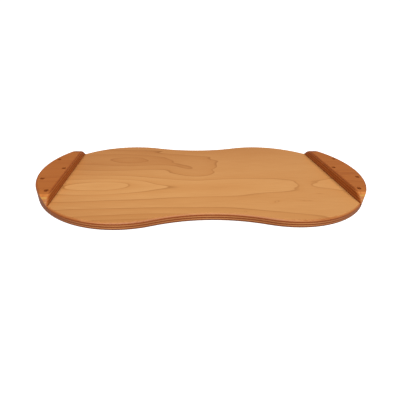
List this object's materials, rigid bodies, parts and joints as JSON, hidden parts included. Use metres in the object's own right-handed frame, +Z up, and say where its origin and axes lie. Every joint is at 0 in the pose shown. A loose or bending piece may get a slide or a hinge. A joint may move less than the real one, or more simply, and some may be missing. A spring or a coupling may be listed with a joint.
{
  "type": "transfer board",
  "caption": "Waisted plywood transfer board with rounded edges and a raised plywood block screwed on each end.",
  "frame": {"origin": "middle of the deck's underside", "axes": "+X along the board towards the right-hand block, +Y across it, +Z up through the top of the deck"},
  "size_m": [0.61, 0.326, 0.0294],
  "materials": {
    "deck_veneer": "satin clear lacquer over birch veneer, grain along the board",
    "deck_crossband": "satin clear lacquer over the end grain of the crosswise veneers",
    "block_veneer": "satin clear lacquer over reddish veneer",
    "block_crossband": "satin clear lacquer over the end grain of the crosswise veneers",
    "screw_bronze": "dark bronze plating, satin"
  },
  "bodies": {
    "root": {"deck_ply_1": "deck_veneer", "deck_ply_2": "deck_crossband", "deck_ply_3": "deck_veneer", "deck_ply_4": "deck_crossband", "deck_ply_5": "deck_veneer", "deck_ply_6": "deck_crossband", "deck_ply_7": "deck_veneer", "left_block_ply_1": "block_veneer", "left_block_ply_2": "block_crossband", "left_block_ply_3": "block_veneer", "left_block_ply_4": "block_crossband", "left_block_ply_5": "block_veneer", "left_block_ply_6": "block_crossband", "left_block_ply_7": "block_veneer", "right_block_ply_1": "block_veneer", "right_block_ply_2": "block_crossband", "right_block_ply_3": "block_veneer", "right_block_ply_4": "block_crossband", "right_block_ply_5": "block_veneer", "right_block_ply_6": "block_crossband", "right_block_ply_7": "block_veneer", "left_block_screws": "screw_bronze", "right_block_screws": "screw_bronze"}
  },
  "joints": []
}
